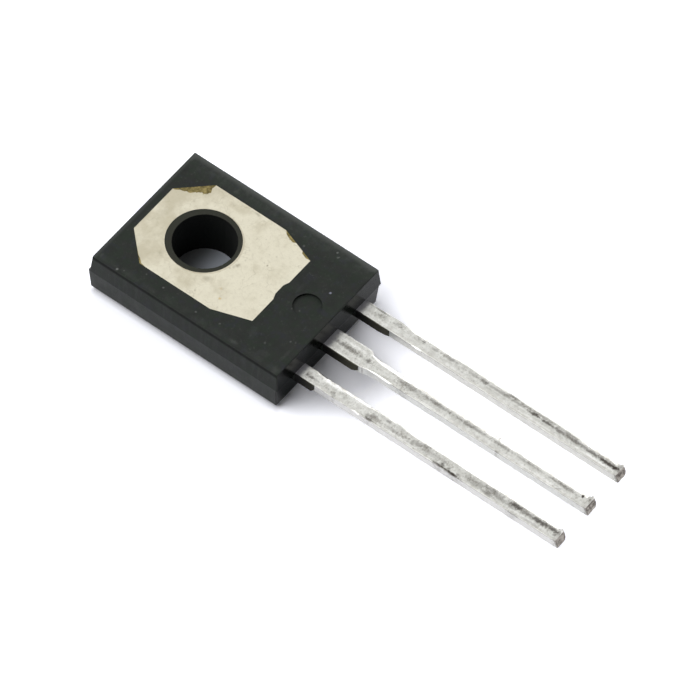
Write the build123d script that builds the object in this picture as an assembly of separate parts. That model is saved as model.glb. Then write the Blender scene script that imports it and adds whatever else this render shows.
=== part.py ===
"""Plastic-moulded power transistor with a mounting hole and three leads in a row.

It is built the way the device is made. A stamped copper frame gives a thick heat-sink plate
with the centre lead on it and two loose outer leads. The silicon die is soldered to the plate,
wires bond it to the outer leads, and black epoxy is moulded round them in a two-part mould.
One face of the plate stays bare for the heat sink.

Millimetres. The origin is on the axis of the mounting hole, on the front face, which is down.
+Z goes through the body to the bare metal face, and the leads run towards -Y.
"""

import os
from math import atan2, degrees, radians, tan

from build123d import *

# Moulded housing: outline at the parting plane, where the two mould halves meet.
body_width = 7.84
body_length = 11.05
hole_to_head_end = 3.65
housing_side_shift = -0.08  # the housing's centre line, seen from that of the frame
front_half_height = 1.6
back_half_height = 1.1
front_side_draft = 6.0
front_head_draft = 0.5
front_lead_draft = 3.0
back_draft = 5.0
mould_mismatch = 0.08  # the front half sits this much nearer the head end than the back half
corner_radius = 0.06
front_edge_radius = 0.3
back_edge_radius = 0.05
bore_radius = 1.55

# Round mark that the mould's ejector pin leaves in the back face.
ejector_mark_radius = 0.7
ejector_mark_depth = 0.13
ejector_mark_to_lead_end = 1.44
ejector_mark_side_shift = 0.08

# Heat-sink plate: outline of its bare face, and the wider lip that the epoxy holds it by.
plate_width = 5.7
plate_thickness = 1.2
plate_to_head_end = 0.6  # epoxy left between the bare face and the housing's two ends
plate_to_lead_end = 2.9
head_chamfer_across = 1.4
head_chamfer_along = 1.45
taper_across = 0.68
taper_along = 1.95
lock_lip_width = 0.25
lock_lip_thickness = 0.6
lining_thickness = 0.27  # epoxy between the plate's hole and the bore
plate_hole_shift = 0.07  # the plate's hole lies this much nearer the head end

# Where the neck is pressed down out of the plate, the bare face's edge is drawn in a little.
drawn_edge_width = 1.2
drawn_edge_flat = 0.6
drawn_edge_along = 0.12
drawn_edge_depth = 0.15

# Leads: outside the body they are plain tinned strip, cut from one sheet.
lead_pitch = 2.29
lead_width = 0.72
lead_thickness = 0.5
lead_length = 15.12
lead_edge_radius = 0.07
centre_root_width = 1.08
centre_root_length = 2.08
centre_root_taper = 0.4

# Hidden ends of the leads.
neck_width = 1.9
neck_length = 0.2
step_length = 0.5
neck_overlap = 0.4  # how far the neck's strip reaches into the plate
frame_gap = 0.35  # between the plate's lip and the outer leads
bond_pad_width = 1.6
bond_pad_shoulder = 0.4
bond_pad_to_lead_end = 0.68  # epoxy between the pad's shoulder and the end wall

# Die, solder and bond wires.
die_thickness = 0.25
solder_thickness = 0.05
solder_margin = 0.1
solder_clearance = 0.27  # bare plate between the solder and the hole or the plate's edge
wire_diameter = 0.15
wire_loop_height = 0.42
wire_foot_length = 0.42
wire_foot_width = 0.22
wire_foot_thickness = 0.1
bond_spot_share = 0.25  # of the die's side, from its middle to each wire

# Thin epoxy flash along the leads' sides, up to where the frame's bars were cut away.
# On the -X and on the +X side: its length, and how much of that it thins and rises over.
flash_thickness = 0.06
flash_root = 0.3  # inside the body
flash_end_height = 0.2
flash_top_gaps = (0.0, 0.12)  # below the lead's upper face
base_flash = ((1.2, 0.15, 0.25), (1.68, 0.15, 0.3))
collector_flash = ((2.18, 0.3, 0.5), (0.5, 0.15, 0.2))
emitter_flash = ((2.63, 1.3, 0.9), (1.33, 0.15, 0.3))

# Heights and places that follow from the sizes above.
parting_z = front_half_height
back_z = front_half_height + back_half_height
lead_top_z = parting_z
lead_bottom_z = lead_top_z - lead_thickness
plate_bottom_z = back_z - plate_thickness
solder_bottom_z = plate_bottom_z - solder_thickness
die_bottom_z = solder_bottom_z - die_thickness

lead_end_y = hole_to_head_end - body_length
tip_y = lead_end_y - lead_length
plate_head_y = hole_to_head_end - plate_to_head_end
plate_tail_y = lead_end_y + plate_to_lead_end
lip_end_y = plate_tail_y - lock_lip_width
pad_end_y = lip_end_y - frame_gap
pad_stem_y = lead_end_y + bond_pad_to_lead_end
pad_shoulder_y = pad_stem_y + bond_pad_shoulder
plate_hole_radius = bore_radius + lining_thickness
plate_hole_end_y = plate_hole_shift - plate_hole_radius
solder_side = plate_hole_end_y - plate_tail_y - 2 * solder_clearance
die_side = solder_side - 2 * solder_margin
die_y = (plate_hole_end_y + plate_tail_y) / 2
bond_spot = bond_spot_share * die_side


def slab(face, low_z, high_z):
    """Plate of a flat shape, between two heights."""
    return extrude(Pos(0, 0, low_z) * face, amount=high_z - low_z, dir=(0, 0, 1))


def housing_half(height, towards, shift, drafts, edge_radius):
    """One mould half, from the parting plane outwards: each wall leans in by its own draft.

    The outer face's edges are rounded first, and then the upright corners are taken off.
    """
    side, head, lead = (height * tan(radians(draft)) for draft in drafts)
    middle_y = hole_to_head_end - body_length / 2 + shift
    wide = (body_width, body_length)
    narrow = (body_width - 2 * side, body_length - head - lead)
    wide_place = Pos(housing_side_shift, middle_y, parting_z)
    outer_z = parting_z + towards * height
    narrow_place = Pos(housing_side_shift, middle_y + (lead - head) / 2, outer_z)
    block = loft([wide_place * Rectangle(*wide), narrow_place * Rectangle(*narrow)])
    block = fillet(block.edges().filter_by_position(Axis.Z, outer_z, outer_z), edge_radius)
    rounded_wide = wide_place * RectangleRounded(*wide, corner_radius)
    rounded_narrow = narrow_place * RectangleRounded(*narrow, corner_radius)
    return block & loft([rounded_wide, rounded_narrow])


def housing_shell():
    """Both halves, with the soft edges of the mould cavity, before anything is let in."""
    front_drafts = (front_side_draft, front_head_draft, front_lead_draft)
    back_drafts = (back_draft, back_draft, back_draft)
    front = housing_half(front_half_height, -1, mould_mismatch, front_drafts, front_edge_radius)
    back = housing_half(back_half_height, 1, 0, back_drafts, back_edge_radius)
    return front + back


def flash(lead_x, root_width, sizes):
    """The two flash strips of a lead: they thin out and rise. The lead is cut out later."""
    strips = []
    start_y = lead_end_y + flash_root
    for side, top_gap, (length, thinning, rise) in zip((-1, 1), flash_top_gaps, sizes):
        inner_x = lead_x + side * (root_width / 2 - lead_edge_radius)
        outer_x = lead_x + side * (root_width / 2 + flash_thickness)
        end_y = lead_end_y - length
        top_z = lead_top_z - top_gap
        outline = Polyline(
            (inner_x, start_y),
            (outer_x, start_y),
            (outer_x, end_y + thinning),
            (inner_x, end_y),
            close=True,
        )
        side_view = Polyline(
            (lead_x, start_y, lead_bottom_z),
            (lead_x, end_y + rise, lead_bottom_z),
            (lead_x, end_y, top_z - flash_end_height),
            (lead_x, end_y, top_z),
            (lead_x, start_y, top_z),
            close=True,
        )
        risen = extrude(make_face(side_view), amount=root_width, both=True, dir=(1, 0, 0))
        strips.append(slab(make_face(outline), lead_bottom_z, top_z) & risen)
    return strips


def plate_outline():
    """Bare face of the plate: cut corners at the head end, tapered towards the leads."""
    half = plate_width / 2
    right = [
        (half - head_chamfer_across, plate_head_y),
        (half, plate_head_y - head_chamfer_along),
        (half, plate_tail_y + taper_along),
        (half - taper_across, plate_tail_y),
    ]
    left = [(-x, y) for x, y in reversed(right)]
    return make_face(Polyline(*right, *left, close=True))


def drawn_edge():
    """Shallow notch in the bare face's lead edge, over the neck. The epoxy fills it."""
    foot = drawn_edge_width / 2
    flat = drawn_edge_flat / 2
    low_y = plate_tail_y - drawn_edge_along
    high_y = plate_tail_y + drawn_edge_along
    right = [(foot, low_y), (foot, plate_tail_y), (flat, high_y)]
    left = [(-x, y) for x, y in reversed(right)]
    outline = make_face(Polyline(*right, *left, close=True))
    return slab(outline, back_z - drawn_edge_depth, back_z + drawn_edge_depth)


def strip(lead_x, sections):
    """Tinned strip along Y through (y, width) sections, with rolled-over edges."""
    middle_z = (lead_top_z + lead_bottom_z) / 2
    faces = []
    for y, width in sections:
        section_plane = Plane(origin=(lead_x, y, middle_z), x_dir=(1, 0, 0), z_dir=(0, -1, 0))
        faces.append(section_plane * RectangleRounded(width, lead_thickness, lead_edge_radius))
    solid = loft(faces[:2], ruled=True)
    for first, second in zip(faces[1:], faces[2:]):
        solid += loft([first, second], ruled=True)
    return solid


def outer_lead(lead_x):
    """Outer lead: a wide bonding pad inside the body, then plain strip to the tip."""
    pad = bond_pad_width / 2
    stem = lead_width / 2
    right = [(pad, pad_end_y), (pad, pad_shoulder_y), (stem, pad_stem_y)]
    left = [(-x, y) for x, y in reversed(right)]
    outline = make_face(Polyline(*right, *left, close=True))
    anchor = slab(Pos(lead_x, 0, 0) * outline, lead_bottom_z, lead_top_z)
    return anchor + strip(lead_x, [(pad_stem_y, lead_width), (tip_y, lead_width)])


def collector():
    """Heat-sink plate and centre lead, one stamping of two gauges joined by a step."""
    bare_face = plate_outline()
    lip = offset(bare_face, amount=lock_lip_width, kind=Kind.INTERSECTION)
    plate = slab(lip, plate_bottom_z, plate_bottom_z + lock_lip_thickness)
    plate += slab(bare_face, plate_bottom_z, back_z)

    neck_y = lip_end_y - neck_length
    step_y = neck_y - step_length
    root_y = (step_y + lead_end_y) / 2
    profile = Polyline(
        (0, lip_end_y + neck_overlap, plate_bottom_z),
        (0, neck_y, plate_bottom_z),
        (0, step_y, lead_bottom_z),
        (0, root_y, lead_bottom_z),
        (0, root_y, lead_top_z),
        (0, step_y, lead_top_z),
        (0, neck_y, plate_bottom_z + lead_thickness),
        (0, lip_end_y + neck_overlap, plate_bottom_z + lead_thickness),
        close=True,
    )
    side_view = extrude(make_face(profile), amount=neck_width, both=True, dir=(1, 0, 0))
    half_neck = neck_width / 2
    half_root = centre_root_width / 2
    right = [(half_neck, 0), (half_neck, step_y), (half_root, root_y)]
    left = [(-x, y) for x, y in reversed(right)]
    top_view = slab(make_face(Polyline(*right, *left, close=True)), 0, back_z)

    narrow_y = lead_end_y - centre_root_length
    lead = strip(
        0,
        [
            (root_y, centre_root_width),
            (narrow_y, centre_root_width),
            (narrow_y - centre_root_taper, lead_width),
            (tip_y, lead_width),
        ],
    )
    hole = Pos(0, plate_hole_shift, back_z) * Cylinder(plate_hole_radius, 4 * plate_thickness)
    return plate + (side_view & top_view) + lead - hole - drawn_edge()


def bond_wire(side, outer_lead_solid, die_solid):
    """Aluminium wire in one arc from the die to an outer lead, with a pressed foot at each end."""
    start = Vector(side * bond_spot, die_y - bond_spot, die_bottom_z)
    end = Vector(side * lead_pitch, (pad_end_y + pad_shoulder_y) / 2, lead_bottom_z)
    sink = Vector(0, 0, wire_foot_thickness / 2)
    low_z = min(start.Z, end.Z) - wire_loop_height
    middle = Vector((start.X + end.X) / 2, (start.Y + end.Y) / 2, low_z)
    path = ThreePointArc(start - sink, middle, end - sink)
    section = Plane(origin=path @ 0, z_dir=path % 0) * Circle(wire_diameter / 2)
    wire = sweep(section, path=path)

    heading = degrees(atan2(end.Y - start.Y, end.X - start.X))
    foot = Rot(0, 0, heading) * SlotOverall(wire_foot_length, wire_foot_width)
    for spot in (start, end):
        wire += slab(Pos(spot.X, spot.Y, 0) * foot, spot.Z - wire_foot_thickness, spot.Z)
    return wire - outer_lead_solid - die_solid


def housing(embedded):
    """Moulded epoxy: it fits each embedded piece exactly and lines the mounting hole."""
    body = housing_shell()
    body += flash(-lead_pitch, lead_width, base_flash)
    body += flash(0, centre_root_width, collector_flash)
    body += flash(lead_pitch, lead_width, emitter_flash)
    mark_place = Pos(ejector_mark_side_shift, lead_end_y + ejector_mark_to_lead_end, back_z)
    body -= mark_place * Cylinder(ejector_mark_radius, 2 * ejector_mark_depth)
    for piece in embedded:
        body -= piece
    return body - Cylinder(bore_radius, 4 * back_z)


def centred_block(side, low_z, high_z):
    """Square block on the die's centre."""
    return slab(Pos(0, die_y, 0) * Rectangle(side, side), low_z, high_z)


base_lead = outer_lead(-lead_pitch)
emitter_lead = outer_lead(lead_pitch)
silicon_die = centred_block(die_side, die_bottom_z, solder_bottom_z)
pieces = {
    "collector_frame": collector(),
    "base_lead": base_lead,
    "emitter_lead": emitter_lead,
    "die_attach_solder": centred_block(solder_side, solder_bottom_z, plate_bottom_z),
    "silicon_die": silicon_die,
    "base_bond_wire": bond_wire(-1, base_lead, silicon_die),
    "emitter_bond_wire": bond_wire(1, emitter_lead, silicon_die),
}
pieces["moulded_body"] = housing(list(pieces.values()))

os.makedirs("parts", exist_ok=True)
for name, solid in pieces.items():
    export_step(solid, f"parts/{name}.step")
    print(name, round(solid.volume, 3), "mm3")
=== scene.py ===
"""Looks of a plastic-moulded power transistor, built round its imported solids.

Metres, in the solids' own frame: the mounting hole's axis is Z, the bare metal face is up,
and the leads run towards -Y. Shapes are worked out in millimetres and scaled at the end.
"""

import functools
import math

import bpy
import numpy as np
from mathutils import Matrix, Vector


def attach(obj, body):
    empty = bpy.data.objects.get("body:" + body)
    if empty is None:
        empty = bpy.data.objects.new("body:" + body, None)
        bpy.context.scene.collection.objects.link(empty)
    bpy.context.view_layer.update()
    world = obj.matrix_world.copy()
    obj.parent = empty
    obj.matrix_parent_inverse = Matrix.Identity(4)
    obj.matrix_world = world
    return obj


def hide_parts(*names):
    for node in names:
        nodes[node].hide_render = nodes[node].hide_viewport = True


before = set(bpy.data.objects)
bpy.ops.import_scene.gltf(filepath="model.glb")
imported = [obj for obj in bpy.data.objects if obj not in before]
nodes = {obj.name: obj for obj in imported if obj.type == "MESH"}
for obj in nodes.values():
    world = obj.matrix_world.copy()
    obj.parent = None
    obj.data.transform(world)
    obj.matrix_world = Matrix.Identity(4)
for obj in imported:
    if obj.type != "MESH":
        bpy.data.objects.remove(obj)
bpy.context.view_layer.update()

# --- Collector stamping ---------------------------------------------------------------------
# The heat-sink plate and the centre lead are one copper stamping of two gauges. The plate is
# plated with matt nickel and lies flush in the housing; the lead below it is coated with tin.

MM = 0.001
PLATE_TOP = 2.7
PLATE_BOTTOM = 1.5
LIP_TOP = 2.1
LEAD_TOP = 1.6
LEAD_BOTTOM = 1.1
LEAD_TIP_Y = -22.52
STATION_STEP = 0.035  # between the sections of a lead
TIP_LENGTH = 0.48  # over which the stations crowd towards the cut end
PLATED_OVER_FLASH = 0.009  # how far the lead's face stands above the solid's beside the flash
HOLE_Y = 0.07
PLATE_HOLE_RADIUS = 1.82
PLATE_DIRECTIONS = 420
SHARP_ANGLE = 35


def ripple(rng, u, v, cell_u, cell_v):
    """Random heights from -1 to 1 on a grid of cells, blended by a smooth step between them."""
    i, j = (u - u.min()) / cell_u, (v - v.min()) / cell_v
    heights = rng.uniform(-1, 1, (int(i.max()) + 2, int(j.max()) + 2))
    i0, j0 = i.astype(int), j.astype(int)
    s, t = i - i0, j - j0
    s, t = s * s * (3 - 2 * s), t * t * (3 - 2 * t)
    low = heights[i0, j0] * (1 - s) + heights[i0 + 1, j0] * s
    high = heights[i0, j0 + 1] * (1 - s) + heights[i0 + 1, j0 + 1] * s
    return low * (1 - t) + high * t


def ease(x, start, end):
    """0 before start and 1 after end, with a smooth step between."""
    t = np.clip((x - start) / (end - start), 0, 1)
    return t * t * (3 - 2 * t)


def soften(mesh):
    """Smooth shading, but for edges where the surface turns by more than the sharp angle."""
    mesh.polygons.foreach_set("use_smooth", np.ones(len(mesh.polygons), bool))
    mesh.set_sharp_from_angle(angle=math.radians(SHARP_ANGLE))


def new_piece(name, points, faces):
    """A mesh object at the origin from points in millimetres, smooth but for its sharp edges."""
    mesh = bpy.data.meshes.new(name)
    mesh.from_pydata((points * MM).tolist(), [], faces)
    mesh.validate()
    mesh.update()
    piece = bpy.data.objects.new(name, mesh)
    bpy.context.scene.collection.objects.link(piece)
    soften(mesh)
    return piece


def ring_faces(rows, columns, closed=False):
    """Quads between rows of points that run round the shape, last row to first if closed."""
    row = np.arange(rows if closed else rows - 1)[:, None] * columns
    column = np.arange(columns)[None, :]
    following = (column + 1) % columns
    above = (row + columns) % (rows * columns)
    quads = np.stack([row + column, row + following, above + following, above + column], -1)
    return quads.reshape(-1, 4).tolist()


def strip_section(left, right, bottom, top, radii, depths, flats, steps=6, across=12, down=5):
    """Rounded rectangles, one for each station along the strip.

    Each corner is a quarter of an ellipse of its own width and depth, pulled towards its chord
    by its share of flatness, and the straight sides between them are divided evenly.
    """
    corners = [
        (right, top, -1, -1), (left, top, 1, -1), (left, bottom, 1, 1), (right, bottom, -1, 1),
    ]
    share = np.linspace(0, 1, steps)
    arcs = []
    for quarter, (x, z, inward_x, inward_z) in enumerate(corners):
        radius, depth, flat = (sizes[quarter][:, None] for sizes in (radii, depths, flats))
        turn = (quarter + share) * np.pi / 2
        arc_x = x[:, None] + radius * (inward_x + np.cos(turn))
        arc_z = z[:, None] + depth * (inward_z + np.sin(turn))
        chord_x = arc_x[:, :1] * (1 - share) + arc_x[:, -1:] * share
        chord_z = arc_z[:, :1] * (1 - share) + arc_z[:, -1:] * share
        arcs.append((arc_x * (1 - flat) + chord_x * flat, arc_z * (1 - flat) + chord_z * flat))
    columns_x, columns_z = [], []
    for quarter, (arc_x, arc_z) in enumerate(arcs):
        next_x, next_z = arcs[(quarter + 1) % 4]
        between = np.linspace(0, 1, (down if quarter % 2 else across) + 2)[1:-1]
        columns_x += [arc_x, arc_x[:, -1:] * (1 - between) + next_x[:, :1] * between]
        columns_z += [arc_z, arc_z[:, -1:] * (1 - between) + next_z[:, :1] * between]
    return np.concatenate(columns_x, 1), np.concatenate(columns_z, 1)


def capped_tube(x, y, z):
    """Points and faces of rows of sections, with each end closed by a fan to its middle."""
    rows, columns = x.shape
    points = np.stack([x, y, z], -1)
    ends = np.stack([points[0].mean(0), points[-1].mean(0)])
    ring = np.arange(columns)
    following = (ring + 1) % columns
    last = (rows - 1) * columns
    root, tip = rows * columns, rows * columns + 1
    fans = np.concatenate([
        np.stack([np.full(columns, root), following, ring], 1),
        np.stack([np.full(columns, tip), last + ring, last + following], 1),
    ])
    faces = ring_faces(rows, columns) + fans.tolist()
    return np.concatenate([points.reshape(-1, 3), ends]), faces


def along(y, knots):
    """Values at each y, on straight lines between (y, value) knots."""
    places, values = zip(*sorted(knots))
    return np.interp(y, places, values)


def lead_strip(
    seed, centre, left_knots, right_knots, rise_knots, roll_knots,
    planed_left, planed_right, burrs, head, flash_end,
):
    """A cut and tinned strip from its hidden root to the tip, as sections along Y.

    Its sides, rise and rolled edge follow knots along Y. The upper right edge is rolled over and
    the upper left one is sharp. Where the frame's bars were cut away both have planed facets, each
    (start, end, size) in distance along the lead, and torn burrs. Towards the tip the lower right
    edge rounds off and tin swells out in a bead, by the head's (left, right, up, down). The cut
    end is closed by rings that waver inwards a little.
    """
    rng = np.random.default_rng(seed)
    root_y = max(place for place, _ in left_knots)
    quarter = np.linspace(0, np.pi / 2, 30)
    even = np.arange(root_y, LEAD_TIP_Y + TIP_LENGTH + 0.02, -STATION_STEP)
    y = np.concatenate([even, LEAD_TIP_Y + TIP_LENGTH * (1 - np.sin(quarter))])
    zero = 0 * y
    outside = ease(-y, 7.45, 7.9)
    edge = lambda cell: ripple(rng, y, zero, cell, 1)
    bare = ease(-y, flash_end, flash_end + 0.3)
    left = centre + along(y, left_knots) + bare * (0.006 * edge(0.9) + 0.004 * edge(0.2))
    right = centre + along(y, right_knots) + outside * (0.008 * edge(0.3) + 0.01 * edge(1.1))
    torn = ease(-y, burrs[0] - 0.3, burrs[0]) * (1 - ease(-y, burrs[1], burrs[1] + 0.3))
    right = right + burrs[2] * torn * np.clip(edge(0.11) + edge(0.23) - 0.35, 0, 1)
    to_tip = y - LEAD_TIP_Y
    bead, waist = (np.exp(-(((to_tip - place) / 0.12) ** 2)) for place in (0.15, 0.42))
    swell = bead - 0.35 * waist
    left, right = left - head[0] * swell, right + head[1] * swell
    rise = along(y, rise_knots)
    top = LEAD_TOP + rise + PLATED_OVER_FLASH * (1 - bare) + head[2] * swell
    bottom = LEAD_BOTTOM + rise - head[3] * swell
    rolled = 0.07 + outside * (along(y, roll_knots) - 0.07 + 0.035 * edge(1.3))
    sharp = 0.022 + 0.012 * edge(0.5) * bare
    under = 0.07 + 0.17 * (1 - ease(to_tip, 0.0, 0.5))
    flats = [zero, zero]
    for side, planed in enumerate((planed_right, planed_left)):
        for start, end, size in planed:
            ramp = min(0.6 * (end - start), 1.0)
            cut = ease(-y, start, start + ramp) * (1 - ease(-y, end - 0.04, end + 0.04))
            flats[side] = np.maximum(flats[side], cut)
            if side:
                sharp = np.maximum(sharp, cut * size)
            else:
                rolled = rolled * (1 - cut) + size * cut
    lower = 0.07 + zero
    x, z = strip_section(
        left, right, bottom, top, radii=[rolled, sharp, lower, under],
        depths=[0.45 * rolled, sharp, lower, under], flats=[*flats, zero, zero],
    )
    middle_x, middle_z = x.mean(1, keepdims=True), z.mean(1, keepdims=True)
    ring = np.linspace(0, 3, x.shape[1])[None, :] + 0 * x
    run = y[:, None] + 0 * x
    relief = 0.004 * ripple(rng, run, ring, 0.4, 0.3) + 0.004 * ripple(rng, run, ring, 0.13, 0.15)
    relief *= np.where((ring > 0.6) & (ring < 2.2), bare[:, None], outside[:, None])
    relief[:, -3:] = relief[:, :3].mean()
    reach = np.hypot(x - middle_x, z - middle_z)
    rounding = 0.83 + 0.17 * np.sqrt(1 - (1 - np.clip(to_tip / 0.1, 0, 1)) ** 2)[:, None]
    grow = rounding * (1 + relief / reach)
    x, z = middle_x + (x - middle_x) * grow, middle_z + (z - middle_z) * grow
    shares = np.array([0.93, 0.8, 0.62, 0.42, 0.2])[:, None]
    end_x = middle_x[-1] + (x[-1] - middle_x[-1]) * shares
    end_z = middle_z[-1] + (z[-1] - middle_z[-1]) * shares
    torn_end = 0.028 * np.clip(
        1 + ripple(rng, end_x, end_z, 0.13, 0.11), 0.05, 2
    ) * (1 - shares) ** 0.5
    y, z = np.concatenate([run, LEAD_TIP_Y + torn_end]), np.concatenate([z, end_z])
    slant = 0.17 * np.maximum(z - z[-6:].min(), 0) / np.ptp(z[-6:])
    return np.concatenate([x, end_x]), y + slant * (1 - ease(y - LEAD_TIP_Y, 0, 0.4)), z


def outline_reach(outline, angles):
    """How far each ray from the origin runs to a closed outline of straight sides.

    The corners are sorted by angle, and each ray meets the side between its two neighbours.
    """
    corners = np.array(outline, float)
    turns = np.arctan2(corners[:, 1], corners[:, 0])
    corners, turns = corners[np.argsort(turns)], np.sort(turns)
    after = np.searchsorted(turns, angles, side="right") % len(turns)
    a, b = corners[after - 1], corners[after]
    side = b - a
    across = np.cos(angles) * side[:, 1] - np.sin(angles) * side[:, 0]
    return (a[:, 0] * b[:, 1] - a[:, 1] * b[:, 0]) / across


def mirrored(right):
    """A closed outline round the plate's hole, from the corners on its right side."""
    right = [(x, y - HOLE_Y) for x, y in right]
    return [*right, *[(-x, y) for x, y in reversed(right)]]


# Corners on the right side of the bare face, of the lip round it, and of the notch at its foot.
BARE_RIGHT = [(1.45, 3.05), (2.85, 1.6), (2.85, -2.55), (2.17, -4.5)]
LIP_RIGHT = [(1.553, 3.3), (3.1, 1.7), (3.1, -2.592), (2.347, -4.75)]
NOTCH_RIGHT = [(0.6, -4.5), (0.3, -4.38)]
NOTCH_DEPTH = 0.15


def plate_rings():
    """The plate as rings round its hole: over the bare face, down over the holding lip, and back.

    Each ring is a distance from the hole's axis for every direction, between the hole's
    circle and an outline. The bare face waves by a few thousandths of a millimetre.
    """
    rng = np.random.default_rng(11)
    bare, lip = mirrored(BARE_RIGHT), mirrored(LIP_RIGHT)
    face = mirrored(BARE_RIGHT + NOTCH_RIGHT)
    corner_turns = [math.atan2(y, x) for x, y in bare + lip + face]
    even_turns = np.linspace(-np.pi, np.pi, PLATE_DIRECTIONS, endpoint=False)
    turns = np.unique(np.round(np.concatenate([even_turns, corner_turns]), 6))
    hole = PLATE_HOLE_RADIUS + 0 * turns
    to_face, to_bare, to_lip = (outline_reach(shape, turns) for shape in (face, bare, lip))
    outwards, inwards = np.linspace(0, 1, 26), np.linspace(1, 0, 6)[1:]
    notch_floor = PLATE_TOP - NOTCH_DEPTH
    rings = [(hole + (to_face - hole) * share, PLATE_TOP) for share in outwards]
    rings += [(to_face, notch_floor), (to_bare, notch_floor), (to_bare, LIP_TOP)]
    rings += [(to_lip, LIP_TOP), (to_lip, PLATE_BOTTOM)]
    rings += [(hole + (to_lip - hole) * share, PLATE_BOTTOM) for share in inwards]
    reach = np.array([ring for ring, _ in rings])
    x, y = reach * np.cos(turns), reach * np.sin(turns) + HOLE_Y
    z = np.array([height for _, height in rings])[:, None] + 0 * x
    wave = 0.5 + 0.3 * ripple(rng, x, y, 0.9, 0.9) + 0.2 * ripple(rng, x, y, 0.3, 0.3)
    top_rows = slice(1, len(outwards) - 1)
    z[top_rows] -= 0.006 * wave[top_rows]
    points = np.stack([x, y, z], -1).reshape(-1, 3)
    return points, [face[::-1] for face in ring_faces(len(rings), len(turns), closed=True)]


stamping = new_piece("collector_stamping", *plate_rings())
neck = new_piece(
    "neck_and_centre_lead",
    *capped_tube(
        *lead_strip(
            21,
            0.0,
            left_knots=[
                (-4.4, -0.95), (-5.45, -0.95), (-6.42, -0.53), (-9.45, -0.53), (-9.85, -0.42),
                (-10.2, -0.4), (-23, -0.37),
            ],
            right_knots=[
                (-4.4, 0.95), (-5.45, 0.95), (-6.42, 0.57), (-9.45, 0.57), (-9.6, 0.46),
                (-10.0, 0.4), (-23, 0.4),
            ],
            rise_knots=[(-4.4, 0.395), (-4.95, 0.395), (-5.45, 0.0), (-23, 0.0)],
            roll_knots=[
                (-4.4, 0.05), (-9.4, 0.05), (-9.6, 0.2), (-12.5, 0.24), (-20, 0.24), (-21.8, 0.2),
                (-22.1, 0.14), (-23, 0.14),
            ],
            planed_left=[(9.5, 11.2, 0.05)],
            planed_right=[(9.45, 22.1, 0.22)],
            burrs=(14.6, 18.4, 0.05),
            head=(0.0, 0.05, 0.05, 0.0),
            flash_end=9.6,
        ),
    ),
)
union = stamping.modifiers.new("union", "BOOLEAN")
union.object = neck
union.operation = "UNION"
union.solver = "EXACT"
graph = bpy.context.evaluated_depsgraph_get()
joined = bpy.data.meshes.new_from_object(stamping.evaluated_get(graph))
stamping.modifiers.clear()
stamping.data = joined
bpy.data.objects.remove(neck)
soften(stamping.data)


def coat(piece, material):
    """Gives a piece its one material."""
    piece.data.materials.clear()
    piece.data.materials.append(material)


def place(kind, inputs, **settings):
    """Adds a shader node in the tree of the sockets that feed it; other inputs are values."""
    is_socket = lambda value: isinstance(value, bpy.types.NodeSocket)
    tree = next(value.id_data for value in inputs.values() if is_socket(value))
    node = tree.nodes.new(kind)
    for name, value in settings.items():
        setattr(node, name, value)
    for name, value in inputs.items():
        if is_socket(value):
            tree.links.new(value, node.inputs[name])
        else:
            node.inputs[name].default_value = value
    return node


def calc(operation, first, *others, clamp=False):
    """Arithmetic between sockets and numbers, two by two from the left."""
    for other in others:
        settings = {"operation": operation, "use_clamp": clamp}
        first = place("ShaderNodeMath", {0: first, 1: other}, **settings).outputs[0]
    return first


times, plus, less, larger = (
    functools.partial(calc, operation) for operation in ("MULTIPLY", "ADD", "SUBTRACT", "MAXIMUM")
)


def inverted(mask):
    """1 where a mask is 0, and 0 where it is 1."""
    return less(1.0, mask)


def magnitude(value):
    """A number without its sign."""
    return place("ShaderNodeMath", {0: value}, operation="ABSOLUTE").outputs[0]


def vector_calc(operation, *values):
    """A step of arithmetic between positions: its vector first, then its number."""
    return place("ShaderNodeVectorMath", dict(enumerate(values)), operation=operation).outputs


def parts(vector):
    """The X, Y and Z of a vector."""
    return place("ShaderNodeSeparateXYZ", {0: vector}).outputs


def turned(vector, angle):
    """Positions turned about the Z axis."""
    inputs = {"Vector": vector, "Angle": angle}
    return place("ShaderNodeVectorRotate", inputs, rotation_type="Z_AXIS").outputs[0]


def mapped(vector, scale=(1, 1, 1), shift=(0, 0, 0)):
    """Positions scaled and then shifted."""
    inputs = {"Vector": vector, "Location": shift, "Scale": scale}
    return place("ShaderNodeMapping", inputs).outputs[0]


def axis_distance(position):
    """How far a place is from the Z axis, which is the mounting hole's."""
    return vector_calc("LENGTH", vector_calc("MULTIPLY", position, (1, 1, 0))[0])["Value"]


def blend(share, low, high):
    """A colour between two others, by a mask."""
    return place("ShaderNodeMix", {"Factor": share, 6: low, 7: high}, data_type="RGBA").outputs[2]


def range_mask(value, low, high):
    """0 where the value is at or below low, 1 where it is at or above high."""
    inputs = {"Value": value, "From Min": low, "From Max": high}
    return place("ShaderNodeMapRange", inputs, interpolation_type="SMOOTHSTEP").outputs["Result"]


def band(value, start, full, fade, end):
    """1 between full and fade, and 0 outside start and end."""
    return times(range_mask(value, start, full), inverted(range_mask(value, fade, end)))


def cloud(vector, scale, detail=2.0, roughness=0.5):
    """Soft noise from 0 to 1, with so many lumps to a millimetre."""
    inputs = {"Vector": vector, "Scale": scale, "Detail": detail, "Roughness": roughness}
    return place("ShaderNodeTexNoise", inputs).outputs["Fac"]


def group(name, inputs, outputs):
    """A shader node group with its sockets, and its two end nodes."""
    tree = bpy.data.node_groups.new(name, "ShaderNodeTree")
    for label, kind, value in inputs:
        socket = tree.interface.new_socket(label, in_out="INPUT", socket_type="NodeSocket" + kind)
        if value is not None:
            socket.default_value = value
    for label, kind in outputs:
        tree.interface.new_socket(label, in_out="OUTPUT", socket_type="NodeSocket" + kind)
    return tree, tree.nodes.new("NodeGroupInput").outputs, tree.nodes.new("NodeGroupOutput").inputs


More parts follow.
